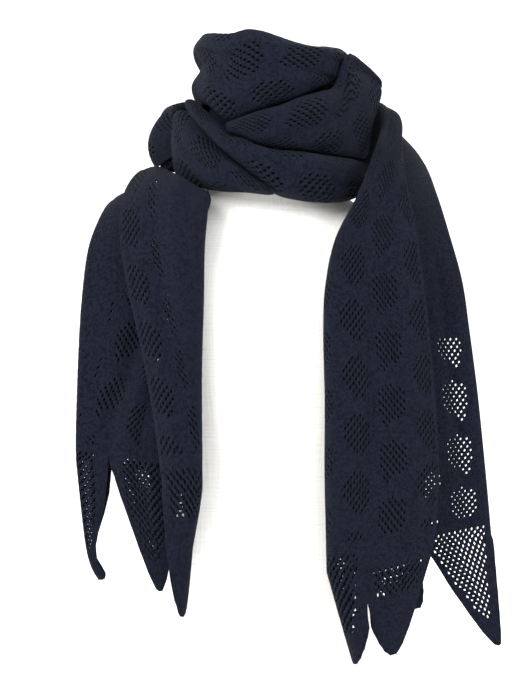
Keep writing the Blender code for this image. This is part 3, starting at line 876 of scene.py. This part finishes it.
RIGHT_STATIONS = [
    # the same, with no turned-in edge
    ((166, -98, 174), (59.5, -118, 152), (228.5, -54, 184), None, 26, 0, 2, (0, -1, 0)),
    ((170, -98, 250), (57.5, -119, 240), (222, -58, 252), None, 26, 0, 3, (0, -1, 0)),
    ((166, -100, 325), (57.5, -120, 320), (214, -62, 328), None, 26, 0, 4, (0, -1, 0)),
    ((160, -103, 392), (55.5, -121, 392), (205, -62, 395), None, 26, 0, 5, (0, -1, 0)),
    ((154, -104, 440), (58, -121, 438), (198, -58, 444), None, 25, 0, 6, (0, -1, 0)),
    ((147, -102, 492), (69, -120, 484), (186, -44, 494), None, 22, 0, 6, (0.1, -1, 0.1)),
    ((138, -88, 540), (92, -112, 528), (177, -24, 532), None, 17, 0, 5, (0.3, -0.9, 0.2)),
    ((134, -65, 578), (108, -84, 570), (170, -4, 557), None, 12, 0, 9, (0.6, -0.7, 0.4)),
    ((135, -23, 604), (119, -28, 606), (164, 10, 566), None, 11, 0, 8, (0.8, -0.3, 0.5)),
    ((129, 19, 617), (118, 15, 632), (154, 38, 560), None, 11, 0, 5, (0.9, 0.2, 0.4)),
    (around(122, 132, 609), around(122, 114, 643), around(120, 142, 548), None, 10, 0, 3, (0.8, 0.5, 0.2)),
    (*ring(150, (128, 596), (112, 645), (124, 550)), None, 10, 0, 2, (0.5, 0.86, 0)),
    (*ring(180, (127, 586), (112, 648), (118, 556)), None, 10, 0, 3, (0, 1, 0)),
    (*ring(210, (127, 580), (112, 648), (117, 562)), None, 10, 0, 4, (-0.5, 0.86, 0)),
    (*ring(238, (128, 576), (114, 638), (117, 565)), None, 10, 0, 5, (-0.85, 0.5, 0)),
    (*ring(257, (122, 566), (110, 626), (112, 561)), None, 10, 0, 11, (-1, 0.1, 0)),
    (*ring(266, (108, 572), (97, 618), (98, 568)), None, 7, 0, 5, (-1, -0.3, 0)),
    (*ring(275, (92, 580), (83, 611), (85, 572)), None, 5, 0, 1, (-0.95, -0.5, 0)),
    (*ring(290, (88, 582), (80, 604), (82, 574)), None, 6, 0, 1, (-0.9, -0.6, 0)),
]
RIGHT_SPLIT = 8.5
print("stations, left and right:", len(LEFT_STATIONS), len(RIGHT_STATIONS))


# %% Sections of the folded strip
TURN_POINTS = 13
BOW_POINTS = 11
BOW_START = 0.08
FINE_PLACES = 400


def half_turn(tip, inward, out, gap):
    """A rounded fold: half a circle of cloth whose furthest point is tip."""
    centre = tip + inward * gap / 2
    return [centre + gap / 2 * (out * math.sin(turn) - inward * math.cos(turn))
            for turn in np.radians(np.linspace(90, -90, TURN_POINTS))]


def bowed(start, end, out, bow):
    """The points between start and end, bowed out by a soft arc."""
    return [start + (end - start) * share + out * bow * 4 * share * (1 - share)
            for share in np.linspace(BOW_START, 1 - BOW_START, BOW_POINTS)]


def folded_section(free, fold, outer, turned, gap, turn_gap, bow, out):
    """Across the folded cloth: the front layer, the fold, the back layer and any part turned behind."""
    across = unit(outer - fold)
    out = unit(out - across * np.dot(out, across))
    turn = half_turn(fold, across, out, gap)
    back_end = outer if turned is None else outer + out * turn_gap / 2
    line = [free, *bowed(free, turn[0], out, bow), *turn, *bowed(turn[-1], back_end, out, bow)]
    if turned is None:
        line.append(outer)
    else:
        line.extend(half_turn(outer, -across, out, turn_gap))
        line.append(turned)
    return line


def read_stations(stations, places):
    """Smooth the table of stations and return one folded section for each place."""
    has_turned = stations[0][3] is not None
    table = [[*free, *fold, *outer, *(turned if has_turned else outer), gap, turn_gap, bow, *out]
             for free, fold, outer, turned, gap, turn_gap, bow, out in stations]
    sections = []
    for row in smooth_through(table, places):
        turned = row[9:12] if has_turned else None
        sections.append(folded_section(row[0:3], row[3:6], row[6:9], turned, *row[12:15], row[15:18]))
    return sections


def even_places(stations, start, end):
    """Fractional station numbers, one for each row of stitches between start and end."""
    fine = np.linspace(start, end, FINE_PLACES)
    folds = smooth_through([station[1] for station in stations], fine)
    outers = smooth_through([station[2] for station in stations], fine)
    middle = (folds + outers) / 2
    travelled = np.concatenate([[0.0], np.cumsum(np.linalg.norm(np.diff(middle, axis=0), axis=1))])
    count = round(travelled[-1] / ROW_HEIGHT)
    return np.interp(np.linspace(0.0, travelled[-1], count + 1), travelled, fine)


def seam_row(stations, split, count, distance):
    """The row of stitches at a split, moved a distance along the cloth's length."""
    here, ahead = [evenly(section, count) for section in read_stations(stations, [split, split + 0.05])]
    travel = ahead - here
    return here + travel / np.linalg.norm(travel, axis=1)[:, None] * distance


# %% [markdown]
# ## Points along the hem
#
# The border is knitted on with four long points. The grid goes on past the notches as one sheet, gets its
# creases, and is only then cut to the points, by holding every stitch beyond the hem at the hem. No two
# points hang alike: each has its own fullness, a gutter down its middle, a neck and a curl at its tip. A
# notch with a negative depth is cut up into the cloth above.

# %% The outline of the border
POINTS_PER_END = 4
STITCHES_PER_POINT = STITCHES // POINTS_PER_END
NOTCH_BLEND = 4
SCALLOP = 0.8
TIP_BLUNTNESS = 0.13
Point = namedtuple("Point", "tip fullness gutter curl neck")


def middle_column(point):
    return point * STITCHES_PER_POINT + STITCHES_PER_POINT // 2


def blunted(share):
    """0 at a point's tip and 1 at its notches, rounded off near the tip."""
    longest = math.hypot(1, TIP_BLUNTNESS)
    return (math.hypot(share, TIP_BLUNTNESS) - TIP_BLUNTNESS) / (longest - TIP_BLUNTNESS)


def border_shape(base, points, notches):
    """How far each column hangs below the notches, and in which direction."""
    middles = [middle_column(point) for point in range(POINTS_PER_END)]
    hangs = [np.array(point.tip, float) - base[middle] for point, middle in zip(points, middles)]
    depths = np.zeros(STITCHES + 1)
    ways = np.zeros((STITCHES + 1, 3))
    for column in range(STITCHES + 1):
        here = min(column // STITCHES_PER_POINT, POINTS_PER_END - 1)
        from_tip = blunted(abs(column % STITCHES_PER_POINT / STITCHES_PER_POINT * 2 - 1))
        longest = np.linalg.norm(hangs[here])
        notch_depth = notches[int(column / STITCHES_PER_POINT + 0.5)]
        depths[column] = notch_depth + (longest - notch_depth) * (1 - from_tip ** points[here].fullness)
        depths[column] += SCALLOP * (column % 2)
        ways[column] = unit(hangs[here])
        notch = round(column / STITCHES_PER_POINT)
        near = 1 - abs(column - notch * STITCHES_PER_POINT) / NOTCH_BLEND
        if 0 < notch < POINTS_PER_END and near > 0:
            shared = unit(unit(hangs[notch - 1]) + unit(hangs[notch]))
            ways[column] = unit(ways[column] * (1 - near) + shared * near)
    return depths, ways


# %% The cloth of the border
NECK_PLACE = 0.80
NECK_ABOVE = 0.35
NECK_BELOW = 0.12
CURL_POWER = 9
GUTTER_START = 60
GUTTER_POWER = 1.5


def border_rows(base, depths, ways, points, side):
    """Rows below the notches, down to the longest tip, with each point's gutter, neck and curl."""
    count = math.ceil(depths.max() / ROW_HEIGHT)
    columns = np.arange(STITCHES + 1)
    here = np.minimum(columns // STITCHES_PER_POINT, POINTS_PER_END - 1)
    gutters, curls, necks = np.array([(point.gutter, point.curl, point.neck) for point in points])[here].T
    aside = (columns - here * STITCHES_PER_POINT) / STITCHES_PER_POINT * 2 - 1
    middles = middle_column(here)
    behind = np.cross(np.gradient(base, axis=0), ways)
    behind /= np.linalg.norm(behind, axis=1)[:, None]
    rows = []
    for step in range(count, 0, -1):
        hang = step * ROW_HEIGHT
        share = np.minimum(hang / depths[middles], 1)
        grown = min(1, hang / GUTTER_START) ** GUTTER_POWER
        push = side * gutters * np.cos(aside * math.pi / 2) ** 2 * grown
        reach = np.where(share < NECK_PLACE, NECK_ABOVE, NECK_BELOW)
        gather = (1 - necks) * np.exp(-((share - NECK_PLACE) / reach) ** 2)
        shift = (base[middles] - base) * gather[:, None] + np.outer(curls * share ** CURL_POWER, (1, 0, 0))
        rows.append(base + ways * hang + behind * push[:, None] + shift)
    return np.array(rows)


def cut_to_points(rows, below, depths):
    """Hold each stitch that lies beyond the hem at the hem."""
    rows = rows.copy()
    for column, depth in enumerate(depths):
        steps = depth / ROW_HEIGHT
        whole = int(steps)
        upper = rows[below - whole, column].copy()
        lower = rows[max(below - whole - 1, 0), column].copy()
        rows[:below - whole, column] = upper + (lower - upper) * (steps - whole)
    return rows


# %% [markdown]
# The chart of a tail has leaves, then a plain band, then open mesh in the points. Where one layer of cloth
# lies close behind another, holes in both would line up here and there and let specks of light through. Real
# yarn is fuzzy enough to hide that. So the chart leaves most of the hidden layers plain, and the front tips.

# %% The chart of the tails
BORDER_TOP = 7
BAND_TOP = 12
BORDER_RIM = 2.2
BORDER_TIP = 30.0
LEAF_SHIFT = 3
LOWEST = -80
HIGHEST = 400
Tail = namedtuple("Tail", "node stations split points notches creases side leaf_row plain")


def border_lean(above, column, depths, points):
    """The lean of the holes in the points; above counts rows up from the notches."""
    here = column // STITCHES_PER_POINT
    middle = middle_column(here)
    hang = max(0, -above) * ROW_HEIGHT
    share = max(0.0, 1 - hang / depths[middle])
    half = STITCHES_PER_POINT / 2 * share ** (1 / points[here].fullness) - BORDER_RIM
    aside = column + 0.5 - middle
    if abs(aside) > half or hang > depths[middle] - BORDER_TIP:
        return 0
    return -BORDER_LEAN if aside < 0 else BORDER_LEAN


def tail_chart(tail, below, depths):
    """A function that gives the lean of the hole at a row and column of a tail, or 0 for no hole."""
    def lean(row, column):
        above = row - below
        if any(low <= above < high and start <= column < end for low, high, start, end in tail.plain):
            return 0
        if above < BORDER_TOP:
            return border_lean(above, column, depths, tail.points)
        if above < BAND_TOP:
            return 0
        return body_lean(above - tail.leaf_row, column + LEAF_SHIFT, tail.side)
    return lean


# %% What each tail is like
LEFT_POINTS = [
    # tip, fullness, gutter, curl, neck
    Point((-80, -122, 108), 2.0, 6, -2, 1),
    Point((-109, -98, 131), 1.15, 2, 0, 1),
    Point((-180, -84, 142), 2.6, 0, 9, 0.38),
    Point((-112, -72, 136), 1.0, 2, 0, 1),
]
LEFT_NOTCHES = [6, 6, -16, 6, 6]
LEFT_CREASES = [
    # along from, across from, along to, across to, width, depth
    Crease(0.25, 0.10, 0.85, 0.13, 9, 3), Crease(0.30, 0.05, 0.70, 0.06, 8, -3),
    Crease(0.20, 0.45, 0.80, 0.42, 10, 4), Crease(0.30, 0.52, 0.75, 0.50, 9, -4),
    Crease(0.15, 0.34, 0.60, 0.36, 8, 3), Crease(0.60, 0.18, 0.90, 0.24, 8, -3),
]
LEFT_PLAIN = [
    # from row, to row, counted up from the notches; from column, to column
    (LOWEST, 32, 43, 53), (LOWEST, BORDER_TOP, 14, 24), (LOWEST, -16, 0, 14),
    (LOWEST, BORDER_TOP, 84, 96), (BORDER_TOP, HIGHEST, 14, 38), (BORDER_TOP, HIGHEST, 60, 96),
]
RIGHT_POINTS = [
    Point((123, -112, 70), 1.35, -4, 0, 1),
    Point((86, -122, 62), 1.35, 0, 0, 1),
    Point((150, -84, 112), 1.35, 0, 0, 1),
    Point((231, -66, 72), 1.1, 4, 2, 1),
]
RIGHT_NOTCHES = [-8, 34, 6, -13, 6]
RIGHT_CREASES = [
    Crease(0.30, 0.25, 0.68, 0.22, 6, 4), Crease(0.18, 0.08, 0.80, 0.09, 14, -4),
    Crease(0.45, 0.16, 0.85, 0.14, 9, 3), Crease(0.20, 0.33, 0.62, 0.31, 12, -3),
    Crease(0.15, 0.80, 0.75, 0.78, 10, 4), Crease(0.20, 0.92, 0.70, 0.90, 9, -4),
    Crease(0.30, 0.65, 0.70, 0.66, 12, -3),
]
RIGHT_PLAIN = [
    (LOWEST, 14, 69, 75), (LOWEST, -17, 0, 24), (-3, BORDER_TOP, 0, 24),
    (BORDER_TOP, HIGHEST, 40, 74), (108, HIGHEST, 40, 96),
]
tails = [
    Tail("tail_left", LEFT_STATIONS, LEFT_SPLIT, LEFT_POINTS, LEFT_NOTCHES, LEFT_CREASES, 1, 10, LEFT_PLAIN),
    Tail("tail_right", RIGHT_STATIONS, RIGHT_SPLIT, RIGHT_POINTS, RIGHT_NOTCHES, RIGHT_CREASES, -1, 33,
         RIGHT_PLAIN),
]
print("points of each tail:", [len(tail.points) for tail in tails])

# %% Knit both tails
SELVEDGE_ROLL = 1.6

for tail in tails:
    sections = read_stations(tail.stations, even_places(tail.stations, 0.0, tail.split))
    body = np.array([evenly(section, STITCHES + 1) for section in sections])
    body[-1] = seam_row(tail.stations, tail.split, STITCHES + 1, -SEAM_GAP / 2)
    depths, ways = border_shape(body[0], tail.points, tail.notches)
    border = border_rows(body[0], depths, ways, tail.points, tail.side)
    rows = press_creases(np.concatenate([border, body]), tail.creases, tail.side, SELVEDGE_ROLL)
    rows = cut_to_points(rows, len(border), depths)
    chart = tail_chart(tail, len(border), depths)
    piece, flat = knit(tail.node.replace("tail", "knit_tail"), rows, chart, wool, tail.node)

# %% [markdown]
# Behind the neck the strip goes on from each tail's split, narrowed by its folds. Its first rows lie inside
# the wrap and stay plain.

# %% Knit the bands behind the neck
BAND_PLAIN_ROWS = 46


def band_lean(row, column):
    return body_lean(row, column) if row > BAND_PLAIN_ROWS else 0


for tail, node in zip(tails, ("back_under", "back_over")):
    places = even_places(tail.stations, tail.split, len(tail.stations) - 1.0)
    rows = whole_stitches(read_stations(tail.stations, places))
    rows[0] = seam_row(tail.stations, tail.split, rows.shape[1], SEAM_GAP / 2)
    rows = press_creases(rows, [], tail.side)
    piece, flat = knit(node.replace("back", "knit_back"), rows, band_lean, wool, node)
